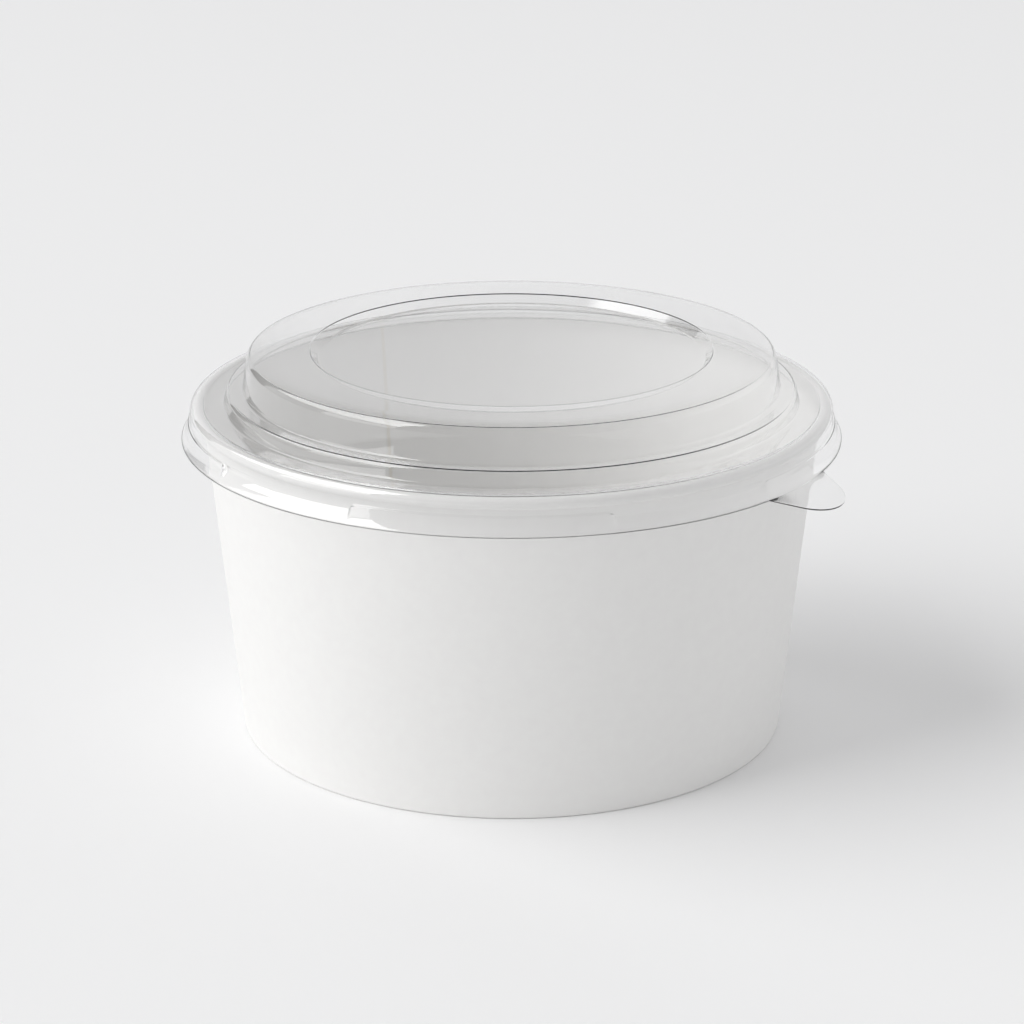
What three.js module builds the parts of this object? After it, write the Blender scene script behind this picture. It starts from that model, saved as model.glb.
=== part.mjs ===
// A takeaway soup container: a white paperboard bowl with a rolled rim, and its press-on clear lid.
// Millimetres, +Z up. The origin is the centre of the base, on the surface that the bowl stands on.
// Angles are in degrees, from the front (-Y) round towards the right (+X).

import * as THREE from 'three';

// Sheet thicknesses, and the clearance between pieces that touch on the real container.
const BOARD = 0.45;
const FILM = 0.35;
const GAP = 0.3;

// The bowl: its wall is a straight cone that leans out to a rim rolled outwards.
const BASE_RADIUS = 65;
const BOWL_HEIGHT = 79.8;
const WALL_LEAN = 0.1;
const RIM_RADIUS = 73.85;
const RIM_TUBE = 1.4;
const RIM_ROLL_END = -120;
const FOLD_HEIGHT = 5.2;
const FOLD_ROUND = 0.6;
const DISC_HEIGHT = 7;
const DISC_ROUND = 0.8;
const FLANGE_END = 0.95;

// The wall is one blank of board, lapped and sealed at the back left.
const SEAM_ANGLE = -152.8;
const SEAM_LAP = 6.7;
const SEAM_RAMP = 12;

// The lid: a sunk panel, a flat ring, a steep dome wall, a step, and a seat that climbs over the rim.
const LID_TOP = 92.2;
const PANEL_DROP = 2.05;
const PANEL_RADIUS = 45.5;
const RING_RADIUS = 47.4;
const CROWN_START = 58;
const CROWN_ARCS = [[13, 75, 1], [0.5, 50, 1], [2.8, 7.7, 2]];
const DOME_FOOT = 63.3;
const STEP_HEIGHT = 83.4;
const STEP_START = 66.15;
const STEP_ARCS = [[1.2, 9, 2]];
const STEP_FOOT = 67.7;
const SEAT_HEIGHT = 80.15;

// The lid's skirt: upright over the rim, then flared to a flange, with long panels that flare sooner.
const SKIRT_FOOT = 76.2;
const FLANGE_RADIUS = 78;
const FLANGE_HEIGHT = 72.15;
const LIP = 0.45;
const SNAP_DEPTH = 0.15;
const PANEL_FRONT = -5.25;
const PANEL_PITCH = 75;
const PANEL_BACK_SPREAD = 33;
const PANEL_HALF = 22.25;
const PANEL_EDGE = 0.6;

// The pull tab on the flange, at the front right: two leaning sides and a round tip, drooping a little.
const TAB_ANGLE = 56.4;
const TAB_HALF_WIDTH = 11.9;
const TAB_LENGTH = 10.2;
const TAB_TIP_RADIUS = 10.2;
const TAB_DROOP = 14.5;

// How many flat faces go round, as the angle of one.
const FACET = 6;

const radians = THREE.MathUtils.degToRad;
const clamp01 = (value) => THREE.MathUtils.clamp(value, 0, 1);

// The angle from one direction to another, between -180 and 180.
const turnFrom = (from, to) => THREE.MathUtils.euclideanModulo(to - from + 180, 360) - 180;

// The bowl's outer face without the lap, and the direction in which the board's faces run up it.
const wallRadius = (height) => BASE_RADIUS + WALL_LEAN * height;

// Every facet's angle, with more of them where the shape turns quickly.
function anglesAround(extra) {
  const angles = [];
  for (let angle = -180; angle < 180; angle += FACET) angles.push(angle);
  const near = (angle) => extra.some((other) => Math.abs(turnFrom(angle, other)) < FACET / 8);
  const kept = angles.filter((angle) => !near(angle));
  return [...kept, ...extra.map((angle) => turnFrom(0, angle))].sort((a, b) => a - b);
}

// Points on an arc of a section, from one angle to another, in equal steps.
function arc(centre, radius, from, to, steps) {
  const points = [];
  for (let i = 0; i <= steps; i += 1) {
    const angle = radians(THREE.MathUtils.lerp(from, to, i / steps));
    points.push([centre[0] + radius * Math.cos(angle), centre[1] + radius * Math.sin(angle)]);
  }
  return points;
}

// From level over an edge, by arcs of [radius, tilt of the face's normal at the arc's end, steps].
function bentEdge(start, arcs) {
  const points = [start];
  let tilt = 90;
  arcs.forEach(([radius, end, steps]) => {
    const [x, z] = points[points.length - 1];
    const centre = [x - radius * Math.cos(radians(tilt)), z - radius * Math.sin(radians(tilt))];
    points.push(...arc(centre, radius, tilt, end, steps).slice(1));
    tilt = end;
  });
  return points;
}

// A sheet's section: the path along one face, and back along the other, which lies to its right.
function sheet(path, thicknessAt) {
  const other = path.map((point, i) => {
    const before = path[Math.max(i - 1, 0)];
    const after = path[Math.min(i + 1, path.length - 1)];
    const along = (a, b) => new THREE.Vector2(b[0] - a[0], b[1] - a[1]).normalize();
    const first = i > 0 ? along(before, point) : along(point, after);
    const second = i < path.length - 1 ? along(point, after) : first;
    const middle = first.clone().add(second).normalize();
    const reach = thicknessAt(i) / middle.dot(first);
    return [point[0] + middle.y * reach, point[1] - middle.x * reach];
  });
  return [...path, ...other.reverse()];
}

// A closed solid round the vertical axis. sectionAt(angle) is its outline there, clockwise, as
// radius and height; points on the axis are shared by all the sections.
function solidAround(angles, sectionAt) {
  const sections = angles.map(sectionAt);
  const count = sections[0].length;
  const positions = [];
  const ids = sections.map((section, column) => section.map(([radius, height], i) => {
    if (radius === 0 && column > 0) return { axis: i };
    const angle = radians(angles[column]);
    positions.push(radius * Math.sin(angle), -radius * Math.cos(angle), height);
    return positions.length / 3 - 1;
  }));
  const id = (column, i) => (ids[column][i].axis === undefined ? ids[column][i] : ids[0][i]);
  const index = [];
  const triangle = (a, b, c) => {
    if (a !== b && b !== c && c !== a) index.push(a, b, c);
  };
  for (let column = 0; column < angles.length; column += 1) {
    const next = (column + 1) % angles.length;
    for (let i = 0; i < count; i += 1) {
      const j = (i + 1) % count;
      triangle(id(column, i), id(column, j), id(next, j));
      triangle(id(column, i), id(next, j), id(next, i));
    }
  }
  const geometry = new THREE.BufferGeometry();
  geometry.setAttribute('position', new THREE.Float32BufferAttribute(positions, 3));
  geometry.setIndex(index);
  geometry.computeVertexNormals();
  return geometry;
}

// The lap of the wall. Past its far edge the inner ply comes out to the wall's face over a ramp.
const lapTurn = (angle) => -turnFrom(SEAM_ANGLE, angle);
const lapRamp = (turn) => clamp01(1 - (turn - SEAM_LAP) / SEAM_RAMP);
const outerShift = (angle) => (lapTurn(angle) > SEAM_LAP ? BOARD * lapRamp(lapTurn(angle)) : 0);
const plies = (angle) => (lapTurn(angle) > 0 && lapTurn(angle) <= SEAM_LAP ? 2 : 1);

// How far the disc and the folded edge sit in, so that they pass inside the lap.
function innerShift(angle) {
  const turn = lapTurn(angle);
  return BOARD * (turn > 0 ? lapRamp(turn) : clamp01(1 + turn / (SEAM_RAMP / 2)));
}

const SEAM_STEP = 0.1;
const seamAngles = [
  SEAM_ANGLE + SEAM_RAMP / 2,
  SEAM_ANGLE + SEAM_STEP,
  SEAM_ANGLE - SEAM_STEP,
  SEAM_ANGLE - SEAM_LAP + SEAM_STEP,
  SEAM_ANGLE - SEAM_LAP - SEAM_STEP,
  SEAM_ANGLE - SEAM_LAP - SEAM_RAMP,
];

// The wall, from the end of the roll, over and down its outside, under the base and up the fold.
function wallSection(angle) {
  const rimCentre = [RIM_RADIUS, BOWL_HEIGHT - RIM_TUBE];
  const roll = arc(rimCentre, RIM_TUBE - BOARD, RIM_ROLL_END, 180, 10);
  const shift = outerShift(angle);
  const shiftFrom = rimCentre[1] - 2 * RIM_TUBE;
  const wall = [
    [wallRadius(shiftFrom), shiftFrom],
    [wallRadius(shiftFrom - RIM_TUBE) - shift, shiftFrom - RIM_TUBE],
  ];
  const outerFoot = wallRadius(FOLD_ROUND) - FOLD_ROUND - shift;
  const foldFace = BASE_RADIUS - 3 * BOARD - 2 * GAP - innerShift(angle);
  const fold = [
    ...arc([outerFoot, FOLD_ROUND], FOLD_ROUND, 0, -90, 2),
    ...arc([foldFace + FOLD_ROUND, FOLD_ROUND], FOLD_ROUND, -90, -180, 2),
    [foldFace + WALL_LEAN * FOLD_HEIGHT, FOLD_HEIGHT],
  ];
  const path = [...roll, ...wall, ...fold];
  const lapFrom = roll.length + 1;
  const lapTo = roll.length + wall.length;
  return sheet(path, (i) => (i >= lapFrom && i <= lapTo ? plies(angle) * BOARD : BOARD));
}

function sideWall() {
  return solidAround(anglesAround(seamAngles), wallSection);
}

// The base disc stands above the fold, with its edge turned down between the wall and the fold.
function discSection(angle) {
  const edge = (height) => wallRadius(height) - BOARD - GAP - innerShift(angle);
  const corner = [edge(DISC_HEIGHT) - DISC_ROUND, DISC_HEIGHT - DISC_ROUND];
  const path = [
    [0, DISC_HEIGHT],
    ...arc(corner, DISC_ROUND, 90, 0, 2),
    [edge(FLANGE_END), FLANGE_END],
  ];
  return sheet(path, () => BOARD);
}

function baseDisc() {
  return solidAround(anglesAround(seamAngles), discSection);
}

// The middles of the flared panels round the skirt: three in front and two behind.
const panelAngles = [
  ...[-1, 0, 1].map((i) => PANEL_FRONT + i * PANEL_PITCH),
  ...[-1, 1].map((i) => PANEL_FRONT + 180 + i * PANEL_BACK_SPREAD),
];

// 1 on a flared panel and 0 between two, where the skirt dips in to clip under the rim.
function panelShare(angle) {
  const nearest = Math.min(...panelAngles.map((middle) => Math.abs(turnFrom(middle, angle))));
  return clamp01(0.5 + (PANEL_HALF - nearest) / (2 * PANEL_EDGE));
}

// The tab's tip circle, and the sides that run from its root to meet that circle.
const tipCentre = FLANGE_RADIUS + TAB_LENGTH - TAB_TIP_RADIUS;
const tipOut = tipCentre - FLANGE_RADIUS;
const sideLean = Math.acos(TAB_TIP_RADIUS / Math.hypot(TAB_HALF_WIDTH, tipOut))
  - Math.atan2(tipOut, TAB_HALF_WIDTH);
const sideOffset = TAB_HALF_WIDTH * Math.cos(sideLean) + FLANGE_RADIUS * Math.sin(sideLean);
const sideEnd = Math.atan2(
  TAB_TIP_RADIUS * Math.cos(sideLean),
  tipCentre + TAB_TIP_RADIUS * Math.sin(sideLean),
);
const tabRoot = THREE.MathUtils.radToDeg(Math.asin(sideOffset / FLANGE_RADIUS) - sideLean);

// How far the tab stands out beyond the flange.
function tabReach(angle) {
  const turn = radians(Math.abs(turnFrom(TAB_ANGLE, angle)));
  const across = tipCentre * Math.sin(turn);
  const radius = turn > sideEnd
    ? sideOffset / Math.sin(turn + sideLean)
    : tipCentre * Math.cos(turn) + Math.sqrt(TAB_TIP_RADIUS ** 2 - across ** 2);
  return turn < Math.PI / 4 ? Math.max(0, radius - FLANGE_RADIUS) : 0;
}

// The lid's upper face, from the middle of the panel out to the edge of the flange.
function lidSection(angle) {
  const share = panelShare(angle);
  const blend = (between, onPanel) => [0, 1].map((i) => THREE.MathUtils.lerp(between[i], onPanel[i], share));
  const overRim = RIM_TUBE + GAP + FILM;
  const rimCentre = [RIM_RADIUS, BOWL_HEIGHT - RIM_TUBE];
  const skirt = RIM_RADIUS + overRim;
  const flareTop = [skirt + 0.15, SKIRT_FOOT];
  const flareFoot = [FLANGE_RADIUS - LIP, FLANGE_HEIGHT + LIP];
  const onFlare = (t) => [
    THREE.MathUtils.lerp(flareTop[0], flareFoot[0], t),
    THREE.MathUtils.lerp(flareTop[1], flareFoot[1], t),
  ];
  const reach = tabReach(angle);
  const path = [
    [0, LID_TOP - PANEL_DROP],
    [PANEL_RADIUS, LID_TOP - PANEL_DROP],
    [RING_RADIUS, LID_TOP],
    ...bentEdge([CROWN_START, LID_TOP], CROWN_ARCS),
    [DOME_FOOT, STEP_HEIGHT],
    ...bentEdge([STEP_START, STEP_HEIGHT], STEP_ARCS),
    [STEP_FOOT, SEAT_HEIGHT],
    ...arc(rimCentre, overRim, 120, 0, 4),
    flareTop,
    blend([skirt - SNAP_DEPTH, SKIRT_FOOT - 0.9], onFlare(0.3)),
    blend([skirt - SNAP_DEPTH / 2, SKIRT_FOOT - 1.5], onFlare(0.5)),
    flareFoot,
    [FLANGE_RADIUS + reach, FLANGE_HEIGHT - reach * Math.tan(radians(TAB_DROOP))],
  ];
  return sheet(path, () => FILM);
}

function lid() {
  const panelEnds = panelAngles.flatMap((middle) => [-1, 1].flatMap((side) => [
    middle + side * (PANEL_HALF - PANEL_EDGE),
    middle + side * (PANEL_HALF + PANEL_EDGE),
  ]));
  const clearOfTab = panelEnds.filter((angle) => Math.abs(turnFrom(TAB_ANGLE, angle)) > tabRoot);
  const tab = [0, 0.18, 0.34, 0.5, 0.66, 0.84, 1].flatMap((part) => {
    const turn = part * tabRoot;
    return part === 0 ? [TAB_ANGLE] : [TAB_ANGLE - turn, TAB_ANGLE + turn];
  });
  return solidAround(anglesAround([...clearOfTab, ...tab]), lidSection);
}

const board = { color: 0xf3f2ef, roughness: 0.7, metalness: 0 };
const film = { color: 0xf4f6f6, roughness: 0.08, metalness: 0, transparent: true, opacity: 0.3 };

function named(name, geometry, finish) {
  const mesh = new THREE.Mesh(geometry, new THREE.MeshStandardMaterial(finish));
  mesh.name = name;
  return mesh;
}

const container = new THREE.Group();
container.add(named('side_wall', sideWall(), board));
container.add(named('base_disc', baseDisc(), board));
container.add(named('lid', lid(), film));

export default container;
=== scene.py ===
# %% [markdown]
# # A paper soup bowl under a clear lid
#
# This lesson dresses a takeaway soup container: an empty bowl of white paperboard with a clear plastic
# lid pressed on. Both are thin sheets bent into round forms, so nearly all of it is made one way: a
# section is drawn once, in radius and height, given the sheet's thickness, and carried round the axis.
# The engineering model is loaded first and stays as it is. It sets the sizes, and each of its three
# plain solids is then stood for by a finer mesh of the same form.

import math

import bpy
import numpy as np
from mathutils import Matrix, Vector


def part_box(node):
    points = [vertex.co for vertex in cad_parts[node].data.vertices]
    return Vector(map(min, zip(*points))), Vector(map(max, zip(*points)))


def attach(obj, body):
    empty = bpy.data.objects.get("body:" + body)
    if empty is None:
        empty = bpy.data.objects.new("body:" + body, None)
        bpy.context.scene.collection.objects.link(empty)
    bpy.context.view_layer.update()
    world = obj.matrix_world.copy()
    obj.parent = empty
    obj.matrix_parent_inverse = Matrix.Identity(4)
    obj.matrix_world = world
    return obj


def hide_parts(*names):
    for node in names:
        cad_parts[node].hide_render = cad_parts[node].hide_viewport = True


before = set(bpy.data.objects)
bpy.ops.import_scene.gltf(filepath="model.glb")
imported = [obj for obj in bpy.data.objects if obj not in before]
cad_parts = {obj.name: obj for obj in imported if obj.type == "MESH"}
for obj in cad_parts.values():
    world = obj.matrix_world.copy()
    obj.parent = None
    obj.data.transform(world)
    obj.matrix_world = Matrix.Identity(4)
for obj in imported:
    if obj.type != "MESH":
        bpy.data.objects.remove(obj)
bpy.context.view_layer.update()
MM = 0.001
print("nodes:", sorted(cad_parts))

# %% [markdown]
# The camera comes first, because every later choice is judged through it. It stands where the
# photograph was taken from: a little above the lid, looking down at about 19 degrees with a long lens,
# which keeps the circles of the rim and the base almost alike in shape. Blender holds a lens as a
# length over a 36 mm sensor, so an angle of view and a length say the same thing.

# %% The camera
CAMERA_PLACE = (0.1 * MM, -740.6 * MM, 306.7 * MM)
CAMERA_PITCH = 19.05
LENS = 115.0
SENSOR = 36.0

camera_data = bpy.data.cameras.new("camera")
camera_data.lens = LENS
camera_data.sensor_width = SENSOR
camera = bpy.data.objects.new("camera", camera_data)
camera.location = CAMERA_PLACE
camera.rotation_euler = (math.radians(90 - CAMERA_PITCH), 0, 0)
bpy.context.scene.collection.objects.link(camera)
bpy.context.scene.camera = camera
print("angle of view:", round(math.degrees(2 * math.atan(SENSOR / 2 / LENS)), 1), "degrees")

# %% [markdown]
# Two small helpers serve every material. Colours are easiest to think of as the hex values of a paint
# program, which are sRGB, but a shader wants linear light, so one function turns the one into the
# other. The second adds a node with its settings and its links in one call, which keeps a node tree
# readable as a list of steps.

# %% Helpers for materials
def srgb(hex_value):
    """A colour given as sRGB hex, as the linear red, green, blue and alpha that shaders use."""
    parts = [int(hex_value[i:i + 2], 16) / 255 for i in (0, 2, 4)]
    linear = [p / 12.92 if p <= 0.04045 else ((p + 0.055) / 1.055) ** 2.4 for p in parts]
    return (*linear, 1.0)


def add_node(tree, kind, settings=None, links=None):
    """Adds a node. settings holds attributes, or socket values by name or number; links, sockets."""
    node = tree.nodes.new(kind)
    for key, value in (settings or {}).items():
        if isinstance(key, str) and hasattr(node, key):
            setattr(node, key, value)
        else:
            node.inputs[key].default_value = value
    for key, socket in (links or {}).items():
        tree.links.new(socket, node.inputs[key])
    return node


def new_material(name):
    """An empty material, its node tree and its output node."""
    material = bpy.data.materials.new(name)
    material.use_nodes = True
    material.node_tree.nodes.clear()
    return material, material.node_tree, add_node(material.node_tree, "ShaderNodeOutputMaterial")


print("white board #EEEEEC in linear light:", [round(v, 3) for v in srgb("EEEEEC")[:3]])

# %% [markdown]
# The bowl is **paperboard**: bleached wood fibre pressed in layers, coated outside and lined inside
# with a film a few hundredths of a millimetre thick so that soup doesn't soak in. To the eye that is a
# matte white with a faint satin skin. Board is never quite even: the fibres bunch in soft clouds two or
# three millimetres across, and between them the surface has a fine tooth. Both are noise patterns laid
# through the solid, so they need no unwrapping and have no seam. Where the board is cut, its raw core
# shows, a little warmer than the coating.

# %% Paperboard
CLOUD_SIZE = 2.6 * MM
TOOTH_SIZE = 0.55 * MM  # real fibres are finer; this is the finest that still shows
CLOUD_DEPTH = 0.012 * MM
TOOTH_DEPTH = 0.005 * MM


def make_paperboard(name, light, shade):
    """White board, between two close whites."""
    material, tree, output = new_material(name)
    place = add_node(tree, "ShaderNodeTexCoord")
    cloud = add_node(tree, "ShaderNodeTexNoise", {"Scale": 1 / CLOUD_SIZE, "Detail": 3.0},
                     {"Vector": place.outputs["Object"]})
    tooth = add_node(tree, "ShaderNodeTexNoise", {"Scale": 1 / TOOTH_SIZE, "Detail": 2.0},
                     {"Vector": place.outputs["Object"]})
    colour = add_node(tree, "ShaderNodeMix", {"data_type": "RGBA", 6: shade, 7: light},
                      {0: cloud.outputs["Fac"]})
    rough = add_node(tree, "ShaderNodeMapRange", {"To Min": 0.5, "To Max": 0.64},
                     {"Value": tooth.outputs["Fac"]})
    soft = add_node(tree, "ShaderNodeBump", {"Strength": 1.0, "Distance": CLOUD_DEPTH},
                    {"Height": cloud.outputs["Fac"]})
    bump = add_node(tree, "ShaderNodeBump", {"Strength": 1.0, "Distance": TOOTH_DEPTH},
                    {"Height": tooth.outputs["Fac"], "Normal": soft.outputs["Normal"]})
    shader = add_node(tree, "ShaderNodeBsdfPrincipled",
                      {"IOR": 1.5, "Coat Weight": 0.12, "Coat Roughness": 0.4, "Coat IOR": 1.5},
                      {"Base Color": colour.outputs[2], "Roughness": rough.outputs["Result"],
                       "Normal": bump.outputs["Normal"]})
    tree.links.new(shader.outputs["BSDF"], output.inputs["Surface"])
    return material


paperboard = make_paperboard("coated_paperboard", srgb("EEEEEC"), srgb("EAE9E8"))
raw_board = make_paperboard("raw_board_edge", srgb("EBE8E2"), srgb("E3E0D8"))
print("board clouds", CLOUD_SIZE / MM, "mm, tooth", TOOTH_SIZE / MM, "mm")

# %% [markdown]
# The lid is **clear PET**, the plastic of water bottles, drawn as a hot sheet into a mould. Clear PET
# bends light a little more than window glass does (IOR 1.575), is very smooth, and shows itself mostly
# by reflections and by dark lines where the eye looks along the sheet. Those lines come by themselves
# if the sheet has two faces and true fillets, so the shader is plain refraction. One thing is added:
# light on its way to the bowl would need a great many samples to find its way through bent sheets, so
# rays from lamps, and light bouncing between matte surfaces, pass straight through with a small loss.
# Where a die cut the lid out of its sheet, the edge of the flange is finely torn. It gets the same
# plastic with a rough surface, which draws the edge as one soft grey line.

# %% Clear PET
PET_IOR = 1.575
PET_TINT = "FDFDFD"
WAVE_SIZE = 14 * MM
WAVE_DEPTH = 0.02 * MM


def make_clear_pet(name, roughness):
    """A clear drawn sheet: refraction for the eye, and see-through for lamp light."""
    material, tree, output = new_material(name)
    place = add_node(tree, "ShaderNodeTexCoord")
    wave = add_node(tree, "ShaderNodeTexNoise", {"Scale": 1 / WAVE_SIZE, "Detail": 1.0},
                    {"Vector": place.outputs["Object"]})
    bump = add_node(tree, "ShaderNodeBump", {"Strength": 1.0, "Distance": WAVE_DEPTH},
                    {"Height": wave.outputs["Fac"]})
    shader = add_node(tree, "ShaderNodeBsdfPrincipled",
                      {"Base Color": srgb(PET_TINT), "Roughness": roughness, "IOR": PET_IOR,
                       "Transmission Weight": 1.0},
                      {"Normal": bump.outputs["Normal"]})
    through = add_node(tree, "ShaderNodeBsdfTransparent", {"Color": srgb("FAFAFA")})
    path = add_node(tree, "ShaderNodeLightPath")
    lamp = add_node(tree, "ShaderNodeMath", {"operation": "MAXIMUM"},
                    {0: path.outputs["Is Shadow Ray"], 1: path.outputs["Is Diffuse Ray"]})
    mix = add_node(tree, "ShaderNodeMixShader", {},
                   {0: lamp.outputs[0], 1: shader.outputs["BSDF"], 2: through.outputs["BSDF"]})
    tree.links.new(mix.outputs["Shader"], output.inputs["Surface"])
    return material


clear_pet = make_clear_pet("clear_PET_sheet", 0.02)
cut_pet = make_clear_pet("die_cut_PET_edge", 0.45)
print("clear PET, IOR", PET_IOR)

# %% [markdown]
# Both bowl and lid are sheets, so their sections are made alike. A *path* is one face of the sheet as
# points of radius and height. `rounded` softens a path's corners as a press or a mould does; a
# quadratic curve at each corner never folds over, however slight the bend. `sheet` then walks back
# along the other face at the sheet's thickness, which closes the outline.

# %% Sections
LEAST_SOFTENING = 0.1  # of the radius, for a bend so slight that it would get no curve at all
SHARE_OF_SIDE = 0.46  # just under half, so that the curves at the two ends of a side never meet


def arc(centre, radius, start, end, steps):
    """Points along part of a circle, between two angles in degrees."""
    turns = np.radians(np.linspace(start, end, steps + 1))
    return np.column_stack([centre[0] + radius * np.cos(turns), centre[1] + radius * np.sin(turns)])


def rounded(corners, radii, steps=4):
    """A path through the corners, each inner one softened to about its radius."""
    corners = np.asarray(corners, float)
    path = [corners[:1]]
    for before, corner, after, radius in zip(corners, corners[1:], corners[2:], radii):
        back, ahead = before - corner, after - corner
        back_length, ahead_length = np.hypot(*back), np.hypot(*ahead)
        cosine = np.clip(-(back @ ahead) / (back_length * ahead_length), -1, 1)
        reach = max(radius * math.tan(math.acos(cosine) / 2), LEAST_SOFTENING * radius)
        reach = min(reach, SHARE_OF_SIDE * back_length, SHARE_OF_SIDE * ahead_length)
        first, last = corner + back / back_length * reach, corner + ahead / ahead_length * reach
        t = np.linspace(0, 1, steps + 1)[:, None]
        path.append((1 - t) ** 2 * first + 2 * t * (1 - t) * corner + t ** 2 * last)
    return np.vstack([*path, corners[-1:]])


def sheet(path, thickness):
    """A closed outline: the path, then back along the other face, which lies to its right."""
    steps = np.diff(path, axis=0)
    steps /= np.hypot(steps[:, 0], steps[:, 1])[:, None]
    before, after = np.vstack([steps[:1], steps]), np.vstack([steps, steps[-1:]])
    middle = before + after
    middle /= np.hypot(middle[:, 0], middle[:, 1])[:, None]
    reach = thickness / np.maximum((middle * before).sum(1), 0.5)
    other = path + np.column_stack([middle[:, 1], -middle[:, 0]]) * np.reshape(reach, (-1, 1))
    return np.vstack([path, other[::-1]])


print("a corner softened:", len(rounded([(0, 0), (1, 0), (1, 1)], [0.2])), "points")

# %% [markdown]
# `solid_round` is the lathe of this lesson. Blender's own Spin or Screw would carry one section round,
# but the lap of the board, the panels of the skirt and the pull tab all change the section on the way.
# So the section is asked for at each angle, and neighbouring sections are joined by quads. Angles are
# in degrees, from the front towards the right. Where a section meets the axis, its points are shared.

# %% The lathe
TURN_STEP = 1.0
SHARP_ANGLE = 38  # faces that meet at more than this stay an edge; less is shaded as one soft form
ON_AXIS = 1e-9


def turn_from(start, end):
    """The angle from one direction to another, between -180 and 180 degrees."""
    return (end - start + 180) % 360 - 180


def angles_around(step, fine):
    """Angles all round, step apart, but closer over each (middle, half width, step) in fine."""
    angles = [a for a in np.arange(-180, 180, step)
              if all(abs(turn_from(middle, a)) > half + step / 3 for middle, half, _ in fine)]
    for middle, half, close in fine:
        count = max(1, round(2 * half / close))
        angles += [turn_from(0, a) for a in np.linspace(middle - half, middle + half, count + 1)]
    return sorted(angles)


def solid_round(name, angles, section_at, materials, material_of=None):
    """A closed mesh with section_at(angle) at each angle; material_of(column, i) picks a material."""
    sections = np.array([section_at(a) for a in angles])
    columns, count = sections.shape[:2]
    turns = np.radians(angles)[:, None]
    radius, height = sections[..., 0], sections[..., 1]
    points = np.stack([radius * np.sin(turns), -radius * np.cos(turns), height], -1).reshape(-1, 3)
    ids = np.arange(columns * count).reshape(columns, count)
    shared = np.abs(radius).max(0) < ON_AXIS
    ids[:, shared] = ids[0, shared]
    faces, indices = [], []
    for column in range(columns):
        here, there = ids[column], ids[(column + 1) % columns]
        for i in range(count):
            j = (i + 1) % count
            corners = list(dict.fromkeys([here[i], here[j], there[j], there[i]]))
            if len(corners) > 2:
                faces.append([int(c) for c in corners])
                indices.append(material_of(column, i) if material_of else 0)
    used = np.unique(ids)
    renumber = np.zeros(columns * count, int)
    renumber[used] = np.arange(len(used))
    mesh = bpy.data.meshes.new(name)
    mesh.from_pydata(points[used].tolist(), [], [[int(renumber[c]) for c in f] for f in faces])
    for material in materials:
        mesh.materials.append(material)
    mesh.polygons.foreach_set("material_index", indices)
    mesh.polygons.foreach_set("use_smooth", [True] * len(faces))
    mesh.set_sharp_from_angle(angle=math.radians(SHARP_ANGLE))
    mesh.validate()
    piece = bpy.data.objects.new(name, mesh)
    bpy.context.scene.collection.objects.link(piece)
    print(name, "has", len(mesh.polygons), "faces")
    return piece


# %% [markdown]
# Now the bowl's own sizes. The engineering model gives the ones that can be read off its box, and the
# rest are the values it was drawn with. The wall leans out by a tenth of its height. It is one blank of
# board wrapped round, so its ends lap and are sealed along a line at the back left: inside the bowl a
# small step shows where the inner end stops, and outside another where the outer end does. Past the lap
# the single ply comes back out to the round over some degrees more.

# %% Sizes of the bowl
BOARD = 0.45 * MM
GLUE_GAP = 0.3 * MM
BASE_RADIUS = 65 * MM
BOWL_HEIGHT = 79.8 * MM
WALL_LEAN = 0.1
RIM_RADIUS = 73.85 * MM
RIM_TUBE = 1.4 * MM
RIM_ROLL_END = -128
FOLD_HEIGHT = 5.2 * MM
FOLD_ROUND = 0.6 * MM
DISC_EDGE_END = 0.95 * MM
DISC_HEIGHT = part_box("base_disc")[1].z
DISC_ROUND = 0.8 * MM

SEAM_ANGLE = -152.8
SEAM_LAP = 6.7
SEAM_RAMP = 12
RIM_LAP = 0.1 * MM  # in the roll the two plies are squeezed together, so the lap adds little
EDGE_STEP = 0.3  # half the angle over which the step at each end of the blank is made
RIM_CENTRE = (RIM_RADIUS, BOWL_HEIGHT - RIM_TUBE)


def wall_radius(height):
    """The radius of the bowl's outer face."""
    return BASE_RADIUS + WALL_LEAN * height


def lap_turn(angle):
    """How far past the inner end of the blank an angle is, in degrees."""
    return -turn_from(SEAM_ANGLE, angle)


def lap_ramp(turn):
    """From 1 at the outer end of the blank down to 0, as the inner ply comes out to the wall's face."""
    t = np.clip((turn - SEAM_LAP) / SEAM_RAMP, 0, 1)
    return 1 - t * t * (3 - 2 * t)


def in_lap(angle):
    """Whether the wall has two plies at an angle."""
    return 0 < lap_turn(angle) <= SEAM_LAP


def outer_shift(angle):
    """How far in the outer face sits, past the lap."""
    return BOARD * lap_ramp(lap_turn(angle)) if lap_turn(angle) > SEAM_LAP else 0.0


def inner_shift(angle):
    """How far in the disc and the folded edge sit, to pass inside the lap."""
    turn = lap_turn(angle)
    return BOARD * (lap_ramp(turn) if turn > 0 else lap_ramp(SEAM_LAP - 2 * turn))


print("rim outside diameter:", round(2 * (RIM_RADIUS + RIM_TUBE) / MM, 1), "mm")

# %% [markdown]
# The wall's section follows the board's printed face, from the end of the rolled rim, over the top,
# down the outside, under the base and up inside the fold. Rolling the edge outwards turns the food side
# to the outside of the roll, as on the real bowl, and gives the mouth its stiff round lip. The thickness
# doubles where the plies lap.

# %% The wall
ROLL_STEPS = 30
WALL_STEPS = 16
FOLD_STEPS = 6
SHIFT_REACH = 4 * RIM_TUBE  # how far below the rim the wall takes to thin or thicken at the lap


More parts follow.
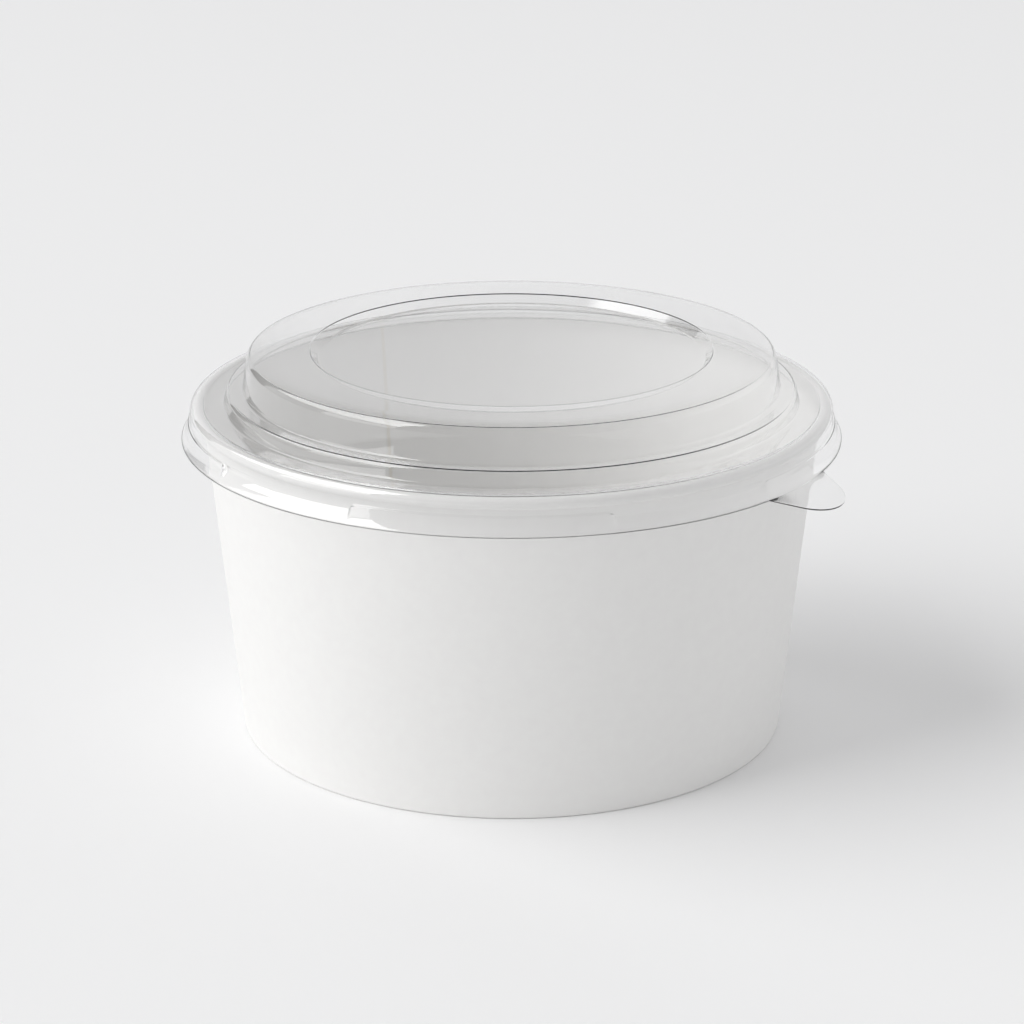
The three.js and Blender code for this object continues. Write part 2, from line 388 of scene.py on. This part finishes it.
def wall_section(angle):
    """The printed face from the end of the roll to the top of the fold, given the board's thickness."""
    roll = arc(RIM_CENTRE, RIM_TUBE - BOARD, RIM_ROLL_END, 180, ROLL_STEPS)
    shift = outer_shift(angle)
    top, foot = RIM_CENTRE[1] - RIM_TUBE, 2 * FOLD_ROUND
    heights = np.linspace(top, foot, WALL_STEPS)
    fade = np.clip((top - heights) / SHIFT_REACH, 0, 1)
    wall = np.column_stack([wall_radius(heights) - shift * fade, heights])
    outer_foot = wall_radius(FOLD_ROUND) - FOLD_ROUND - shift
    fold_face = BASE_RADIUS - 3 * BOARD - 2 * GLUE_GAP - inner_shift(angle)
    fold = np.vstack([
        arc((outer_foot, FOLD_ROUND), FOLD_ROUND, 0, -90, FOLD_STEPS),
        arc((fold_face + FOLD_ROUND, FOLD_ROUND), FOLD_ROUND, -90, -180, FOLD_STEPS),
        [(fold_face + WALL_LEAN * FOLD_HEIGHT, FOLD_HEIGHT)],
    ])
    path = np.vstack([roll, wall, fold])
    thickness = np.full(len(path), BOARD)
    if in_lap(angle):
        thickness[:len(roll)] += RIM_LAP
        thickness[len(roll):len(roll) + WALL_STEPS] += RIM_LAP + (BOARD - RIM_LAP) * fade
    return sheet(path, thickness)


outer_end = SEAM_ANGLE - SEAM_LAP
seam_fine = [(SEAM_ANGLE, EDGE_STEP, 2 * EDGE_STEP), (outer_end, EDGE_STEP, 2 * EDGE_STEP)]
wall_angles = angles_around(TURN_STEP, seam_fine)
path_count = len(wall_section(0)) // 2
inner_edge_column = next(i for i, a in enumerate(wall_angles) if a > SEAM_ANGLE - 2 * EDGE_STEP)
outer_edge_column = next(i for i, a in enumerate(wall_angles) if a > outer_end - 2 * EDGE_STEP)


def wall_material(column, i):
    """Raw board on cut edges: the two ends of the section, and the two ends of the blank."""
    if i in (path_count - 1, 2 * path_count - 1):
        return 1
    inside, outside = i >= path_count, i < path_count
    return int((column == inner_edge_column and inside) or (column == outer_edge_column and outside))


bowl_wall = solid_round("bowl_wall", wall_angles, wall_section, [paperboard, raw_board], wall_material)

# %% [markdown]
# The base is a separate disc, pressed into a shallow tray with its edge turned down, and glued between
# the wall and the fold. From above it is a plain floor with a soft corner; from below it is the roof of
# the recess that lets the bowls stack. It is the same board, seen a touch greyer because little light
# gets to it.

# %% The base disc
DISC_STEPS = 8


def disc_section(angle):
    """The tray's upper face from the middle, over its corner and down to the end of its turned edge."""
    edge, edge_end = (wall_radius(height) - BOARD - GLUE_GAP - inner_shift(angle)
                      for height in (DISC_HEIGHT, DISC_EDGE_END))
    path = np.vstack([
        [(0, DISC_HEIGHT), (0.5 * BASE_RADIUS, DISC_HEIGHT)],
        arc((edge - DISC_ROUND, DISC_HEIGHT - DISC_ROUND), DISC_ROUND, 90, 0, DISC_STEPS),
        [(edge_end, DISC_EDGE_END)],
    ])
    return sheet(path, BOARD)


base_floor = solid_round("base_floor", angles_around(TURN_STEP, []), disc_section, [paperboard])

# %% [markdown]
# The lid's upper face steps down from a flat ring, with a sunk panel in its middle, by a steep wall, a
# tread and a riser, to a seat that climbs over the rolled rim. Below the rim the skirt must do two
# things: spread, so that it slides over the rim, and dip in, so that it snaps under it. It does them in
# turns. Long *panels* flare out early, and between them the skirt dips in before it flares. A rounded
# rectangle, drawn on the skirt, tells how much an angle and a height belong to a panel. Each of the
# skirt's two forms is a list of corners, as how far out from the bead's side and how high, in mm.

# %% Sizes of the lid
FILM = 0.35 * MM
RIM_GAP = 0.3 * MM
LID_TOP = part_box("lid")[1].z
FLANGE_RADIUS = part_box("lid")[1].x
PANEL_HEIGHT = LID_TOP - 2.05 * MM
PANEL_RADIUS = 45.5 * MM
RING_RADIUS = 47.4 * MM
CROWN_START = 58 * MM
CROWN_ARCS = ((13 * MM, 75), (0.5 * MM, 50), (2.8 * MM, 7.7))
DOME_FOOT = 63.3 * MM
STEP_HEIGHT = 83.4 * MM
STEP_START = 66.45 * MM
STEP_ARCS = ((0.55 * MM, 50), (1.6 * MM, 9))
STEP_FOOT = 67.7 * MM
SEAT_HEIGHT = 79.9 * MM
SEAT_LEAD = 0.15 * MM
RIM_ARC_START = 125
OVER_RIM = RIM_TUBE + RIM_GAP + FILM
SKIRT_RADIUS = RIM_RADIUS + OVER_RIM
SKIRT_FOOT = 76.2 * MM
FLANGE_HEIGHT = 71.98 * MM
LIP = 0.45 * MM
FLARE_FOOT = (FLANGE_RADIUS - LIP, FLANGE_HEIGHT + LIP)

FLARE_FRONT = -5.25
FLARE_PITCH = 75
FLARE_BACK_SPREAD = 33
FLARE_HALF = 22.25
FLARE_LOW = FLANGE_HEIGHT + 0.7 * MM
FLARE_CORNER = 1.3 * MM
FLARE_EDGE = 0.45 * MM
FLARED_FORM = [(0.03, 76.4), (0.46, 75.9), (0.74, 74.9), (1.13, 73.8)]
GAP_FORM = [(0.02, 76.2), (-0.1, 75.5), (-0.02, 74.85), (0.9, 73.65)]
SKIRT_RADII = [0.55 * MM, 0.55 * MM, 0.4 * MM, 0.6 * MM]
flare_middles = [FLARE_FRONT + i * FLARE_PITCH for i in (-1, 0, 1)]
flare_middles += [FLARE_FRONT + 180 + i * FLARE_BACK_SPREAD for i in (-1, 1)]


def flare_share(angle, heights):
    """1 on a flared panel, 0 between two, with a soft edge; heights is an array."""
    nearest = min(abs(turn_from(middle, angle)) for middle in flare_middles)
    across = math.radians(nearest - FLARE_HALF) * SKIRT_RADIUS + FLARE_CORNER
    middle, half = (SKIRT_FOOT + FLARE_LOW) / 2, (SKIRT_FOOT - FLARE_LOW) / 2
    up = np.abs(heights - middle) - half + FLARE_CORNER
    outside = np.hypot(max(across, 0), np.maximum(up, 0))
    distance = outside + np.minimum(np.maximum(across, up), 0) - FLARE_CORNER
    t = np.clip(0.5 - distance / (2 * FLARE_EDGE), 0, 1)
    return t * t * (3 - 2 * t)


print("flared panels at", [round(turn_from(0, m), 1) for m in flare_middles])

# %% [markdown]
# The pull tab is part of the same sheet: the flange simply reaches out, in two straight sides that lean
# together and a round tip, and droops a little. Seen from the middle of the lid, every ray meets the
# tab's outline once, so one number per angle is enough: how far the flange reaches there.

# %% The pull tab
TAB_ANGLE = 56.4
TAB_HALF_WIDTH = 11.9 * MM
TAB_LENGTH = 10.2 * MM
TAB_TIP_RADIUS = 10.2 * MM
TAB_DROOP = 14.5
tip_centre = FLANGE_RADIUS + TAB_LENGTH - TAB_TIP_RADIUS
tip_out = tip_centre - FLANGE_RADIUS
side_lean = (math.acos(TAB_TIP_RADIUS / math.hypot(TAB_HALF_WIDTH, tip_out))
             - math.atan2(tip_out, TAB_HALF_WIDTH))
side_offset = TAB_HALF_WIDTH * math.cos(side_lean) + FLANGE_RADIUS * math.sin(side_lean)
side_end = math.atan2(TAB_TIP_RADIUS * math.cos(side_lean),
                      tip_centre + TAB_TIP_RADIUS * math.sin(side_lean))
tab_root = math.degrees(math.asin(side_offset / FLANGE_RADIUS) - side_lean)


def tab_reach(angle):
    """How far the tab stands out beyond the flange at an angle."""
    turn = math.radians(abs(turn_from(TAB_ANGLE, angle)))
    if turn >= math.radians(tab_root):
        return 0.0
    if turn > side_end:
        return side_offset / math.sin(turn + side_lean) - FLANGE_RADIUS
    across = tip_centre * math.sin(turn)
    return tip_centre * math.cos(turn) + math.sqrt(TAB_TIP_RADIUS ** 2 - across ** 2) - FLANGE_RADIUS


print("tab root at", round(tab_root, 2), "degrees from its middle")

# %% [markdown]
# Each section of the lid is now one path: the crown with softened corners, an arc concentric with the
# rolled rim, the skirt as a blend of its two forms, and the lip or the tab. Both forms of the skirt are
# drawn with the same number of points, so that blending them is one line. A hot sheet drawn over an
# edge doesn't bend to one radius: it lifts off gently, turns tight and then slackens. `bent_edge` joins
# arcs of several radii for that, at the shoulder of the dome and at the step. Their form decides where
# the lid shows its dark lines.

# %% The lid
CORNER_RADII = [0.7 * MM, 0.5 * MM]
FOOT_RADII = [1.0 * MM, 0.35 * MM]
LIP_ROUND = 0.3 * MM
CUT_EDGE = 0.16 * MM  # a die pinches the sheet thin where it cuts
OVER_RIM_STEPS = 14
LEAST_REACH = 0.01 * MM
LIP_CORNER = (FLANGE_RADIUS - 0.05 * MM, FLANGE_HEIGHT)
TAB_COLUMNS = 44
END_SPAN, END_STEP = 1.25, 0.25


def bent_edge(start, arcs):
    """From a level sheet over an edge, by arcs of (radius, tilt of the face's normal at its end)."""
    tilt, points = 90, [start]
    for radius, end in arcs:
        turn = math.radians(tilt)
        centre = points[-1] - radius * np.array([math.cos(turn), math.sin(turn)])
        steps = 3 + round(abs(tilt - end) / 8)
        points += list(arc(centre, radius, tilt, end, steps)[1:])
        tilt = end
    return np.array(points)


def lid_section(angle):
    """The lid's upper face from the middle out, given the sheet's thickness."""
    shoulder = bent_edge((CROWN_START, LID_TOP), CROWN_ARCS)
    tread = bent_edge((STEP_START, STEP_HEIGHT), STEP_ARCS)
    over_rim = arc(RIM_CENTRE, OVER_RIM, RIM_ARC_START, 0, OVER_RIM_STEPS)
    seat_end = (over_rim[0][0] - SEAT_LEAD, SEAT_HEIGHT)
    recess = rounded([(0, PANEL_HEIGHT), (PANEL_RADIUS, PANEL_HEIGHT), (RING_RADIUS, LID_TOP),
                      shoulder[0]], CORNER_RADII)
    dome = rounded([shoulder[-1], (DOME_FOOT, STEP_HEIGHT), tread[0]], FOOT_RADII)
    riser = rounded([tread[-1], (STEP_FOOT, SEAT_HEIGHT), seat_end, over_rim[0]], FOOT_RADII)
    forms = ([(SKIRT_RADIUS + out * MM, height * MM) for out, height in form]
             for form in (FLARED_FORM, GAP_FORM))
    flared, gap = (rounded([over_rim[-1], *form, FLARE_FOOT], SKIRT_RADII) for form in forms)
    share = flare_share(angle, (flared[:, 1] + gap[:, 1]) / 2)[:, None]
    skirt = gap + (flared - gap) * share
    reach = max(tab_reach(angle), LEAST_REACH)
    droop = reach * math.tan(math.radians(TAB_DROOP))
    lip = rounded([FLARE_FOOT, LIP_CORNER, (FLANGE_RADIUS - LEAST_REACH + reach, FLANGE_HEIGHT - droop)],
                  [LIP_ROUND])
    parts = (shoulder, dome, tread, riser, over_rim, skirt, lip)
    path = np.vstack([recess, *[part[1:] for part in parts]])
    thickness = np.full(len(path), FILM)
    thin = CUT_EDGE + (FILM - CUT_EDGE) * min(reach / TAB_LENGTH, 1)
    thickness[-len(lip):] = np.linspace(FILM, thin, len(lip))
    return sheet(path, thickness)


def lid_material(column, i):
    """The rough cut edge all round, but not on the tab, where the sheet shows its clear outline."""
    return int(i == lid_count - 1 and tab_reach(lid_angles[column]) == 0)


tab_fine = [(TAB_ANGLE, tab_root, 2 * tab_root / TAB_COLUMNS)]
flare_ends = [middle + side * FLARE_HALF for middle in flare_middles for side in (-1, 1)]
end_fine = [(end, END_SPAN, END_STEP) for end in flare_ends
            if abs(turn_from(TAB_ANGLE, end)) > tab_root + END_SPAN]
lid_angles = angles_around(TURN_STEP, tab_fine + end_fine)
print("lid sections:", len(lid_angles), "with", len(lid_section(0)), "points")
lid_count = len(lid_section(0)) // 2
clear_lid = solid_round("clear_lid", lid_angles, lid_section, [clear_pet, cut_pet], lid_material)

# %% [markdown]
# The three finished pieces take their places. Each rides on the one body of the model and stands for the
# plain solid of the same form.

# %% Pieces and nodes
for piece, node, slot in ((bowl_wall, "side_wall", "paperboard"),
                          (base_floor, "base_disc", "paperboard_base"),
                          (clear_lid, "lid", "clear_film")):
    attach(piece, "root")
    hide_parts(node)
    print(piece.name, "stands for", node)

# %% [markdown]
# The set is white paper and a big soft light. A sheet of white paper under and behind the bowl fills
# the frame, so the floor is one large plane with a matte white surface. It belongs to the stage and not
# to the object.

# %% The floor
FLOOR_HALF = 6.0


def make_floor():
    """The paper as one flat square face."""
    material, tree, output = new_material("matte_white_paper_sweep")
    shader = add_node(tree, "ShaderNodeBsdfPrincipled",
                      {"Base Color": srgb("F4F4F4"), "Roughness": 0.6, "IOR": 1.45})
    tree.links.new(shader.outputs["BSDF"], output.inputs["Surface"])
    corners = [(x, y, 0) for x, y in ((-1, -1), (1, -1), (1, 1), (-1, 1))]
    mesh = bpy.data.meshes.new("floor")
    mesh.from_pydata([(x * FLOOR_HALF, y * FLOOR_HALF, z) for x, y, z in corners], [], [(0, 1, 2, 3)])
    mesh.materials.append(material)
    floor = bpy.data.objects.new("floor", mesh)
    bpy.context.scene.collection.objects.link(floor)
    return floor


floor = make_floor()
print("floor", 2 * FLOOR_HALF, "m wide")

# %% [markdown]
# The streaks on the lid tell where the light stood: a large softbox high on the left, brightest at its
# front end, with a much weaker strip below it. A softbox is an area light; its size sets how soft the
# shadow is and how broad the streaks are, and its power only how bright. Parametric coordinates run
# from 0 to 1 across a lamp, so its fade is a ramp in the lamp's own nodes. Glossy rays see it at less
# than its full strength, because the streaks on the real film are paler than its shadow would suggest.

# %% The lamps
# A lamp is its name, its front, back, low and high edges in metres, its watts and its fade at the back.
LAMP_DISTANCE = 4.6
SOFTBOX = ("softbox", -4.0, 3.3, 2.3, 9.9, 715.0, 0.36)
LOW_STRIP = ("low_strip", -4.0, -0.35, 0.1, 2.3, 34.0, 1.0)
GLARE = 0.4
SOFT_TOP = 0.7  # the share of a lamp's height above which it fades out


def make_lamp(name, front, back, low, high, power, fade):
    """An upright area light on the left that fades from its front end to its back end."""
    lamp = bpy.data.lights.new(name, "AREA")
    lamp.shape = "RECTANGLE"
    lamp.size, lamp.size_y = back - front, high - low
    lamp.energy = power
    lamp.use_nodes = True
    tree = lamp.node_tree
    tree.nodes.clear()
    output = add_node(tree, "ShaderNodeOutputLight")
    place = add_node(tree, "ShaderNodeNewGeometry")
    across = add_node(tree, "ShaderNodeSeparateXYZ", {}, {0: place.outputs["Parametric"]})
    ramp = add_node(tree, "ShaderNodeMapRange", {"To Min": fade, "To Max": 1.0},
                    {"Value": across.outputs["X"]})
    top = add_node(tree, "ShaderNodeMapRange",
                   {"interpolation_type": "SMOOTHSTEP", "From Min": 1.0, "From Max": SOFT_TOP},
                   {"Value": across.outputs["Y"]})
    both = add_node(tree, "ShaderNodeMath", {"operation": "MULTIPLY"},
                    {0: ramp.outputs["Result"], 1: top.outputs["Result"]})
    path = add_node(tree, "ShaderNodeLightPath")
    glare = add_node(tree, "ShaderNodeMapRange", {"To Min": 1.0, "To Max": GLARE},
                     {"Value": path.outputs["Is Glossy Ray"]})
    seen = add_node(tree, "ShaderNodeMath", {"operation": "MULTIPLY"},
                    {0: both.outputs[0], 1: glare.outputs["Result"]})
    glow = add_node(tree, "ShaderNodeEmission", {}, {"Strength": seen.outputs[0]})
    tree.links.new(glow.outputs["Emission"], output.inputs["Surface"])
    light = bpy.data.objects.new(name, lamp)
    light.location = (-LAMP_DISTANCE, (front + back) / 2, (low + high) / 2)
    light.rotation_euler = (math.pi / 2, 0, -math.pi / 2)
    light.visible_camera = False
    bpy.context.scene.collection.objects.link(light)
    print(name, "of", power, "W,", round(lamp.size, 2), "by", round(lamp.size_y, 2), "m")


for lamp_values in (SOFTBOX, LOW_STRIP):
    make_lamp(*lamp_values)

# %% [markdown]
# The room is the sky of the scene. It is white and fills the shadow to a pale grey, a little darker
# overhead and along the horizon. From the right it sends back some of the softbox's light, which is what
# keeps the bowl's far side from going flat. Each of these is one short step of the sky's nodes, worked
# out from the direction that a ray leaves in.

# %% The room
ROOM_LIGHT = 0.755
ROOM_SLOPE = (0, 0.15, -0.26)
HORIZON_DARK, HORIZON_HEIGHT = 0.8, 0.15
BOUNCE_SIDE = (0.992, 0.087, 0.087)
BOUNCE_LIGHT, BOUNCE_FOCUS = 0.44, 4.0


def make_room():
    """The white room as the sky: a slope, a darker horizon, and light sent back from the right."""
    world = bpy.data.worlds.new("white_room")
    world.use_nodes = True
    tree = world.node_tree
    tree.nodes.clear()
    output = add_node(tree, "ShaderNodeOutputWorld")
    place = add_node(tree, "ShaderNodeTexCoord")
    slope = add_node(tree, "ShaderNodeVectorMath", {"operation": "DOT_PRODUCT", 1: ROOM_SLOPE},
                     {0: place.outputs["Generated"]})
    strength = add_node(tree, "ShaderNodeMath", {"operation": "ADD", 1: ROOM_LIGHT},
                        {0: slope.outputs["Value"]})
    height = add_node(tree, "ShaderNodeSeparateXYZ", {}, {0: place.outputs["Generated"]})
    horizon = add_node(tree, "ShaderNodeMapRange",
                       {"interpolation_type": "SMOOTHSTEP", "From Min": 0.0, "From Max": HORIZON_HEIGHT,
                        "To Min": HORIZON_DARK, "To Max": 1.0}, {"Value": height.outputs["Z"]})
    both = add_node(tree, "ShaderNodeMath", {"operation": "MULTIPLY"},
                    {0: strength.outputs[0], 1: horizon.outputs[0]})
    side = add_node(tree, "ShaderNodeVectorMath", {"operation": "DOT_PRODUCT", 1: BOUNCE_SIDE},
                    {0: place.outputs["Generated"]})
    facing = add_node(tree, "ShaderNodeMath", {"operation": "MAXIMUM", 1: 0.0},
                      {0: side.outputs["Value"]})
    lobe = add_node(tree, "ShaderNodeMath", {"operation": "POWER", 1: BOUNCE_FOCUS},
                    {0: facing.outputs[0]})
    total = add_node(tree, "ShaderNodeMath", {"operation": "MULTIPLY_ADD", 1: BOUNCE_LIGHT},
                     {0: lobe.outputs[0], 2: both.outputs[0]})
    light = add_node(tree, "ShaderNodeBackground", {"Color": srgb("FEFEFF")},
                     {"Strength": total.outputs[0]})
    tree.links.new(light.outputs["Background"], output.inputs["Surface"])
    bpy.context.scene.world = world


make_room()
print("room light", ROOM_LIGHT, "and up to", BOUNCE_LIGHT, "more from the right")

# %% [markdown]
# Clear film shows what stands round it, and in a room that is white everywhere it would nearly vanish.
# So a dark card stands behind the bowl on the left, a *flag* to photographers. The camera can't see it,
# but the film can, and it gets dark lines next to its streaks. The view transform is the last choice:
# Standard shows white paper as white, which the softer default would turn grey.

# %% The dark card
FLAG_AZIMUTH, FLAG_DISTANCE = -137, 3.9
FLAG_WIDTH, FLAG_HEIGHT = 1.3, 6.3


def make_flag():
    """A dark card behind the bowl on the left, never seen itself, that gives clear film a dark edge."""
    material, tree, output = new_material("dark_grey_felt_card")
    shader = add_node(tree, "ShaderNodeBsdfPrincipled", {"Base Color": srgb("303030"), "Roughness": 0.95})
    tree.links.new(shader.outputs["BSDF"], output.inputs["Surface"])
    half = FLAG_WIDTH / 2
    corners = [(-half, 0, 0), (half, 0, 0), (half, 0, FLAG_HEIGHT), (-half, 0, FLAG_HEIGHT)]
    mesh = bpy.data.meshes.new("flag")
    mesh.from_pydata(corners, [], [(0, 1, 2, 3)])
    mesh.materials.append(material)
    flag = bpy.data.objects.new("flag", mesh)
    turn = math.radians(FLAG_AZIMUTH)
    flag.location = (FLAG_DISTANCE * math.sin(turn), -FLAG_DISTANCE * math.cos(turn), 0.01)
    flag.rotation_euler = (0, 0, turn)
    flag.visible_camera = False
    bpy.context.scene.collection.objects.link(flag)


make_flag()
bpy.context.scene.view_settings.view_transform = "Standard"
print("dark card", FLAG_WIDTH, "by", FLAG_HEIGHT, "m")
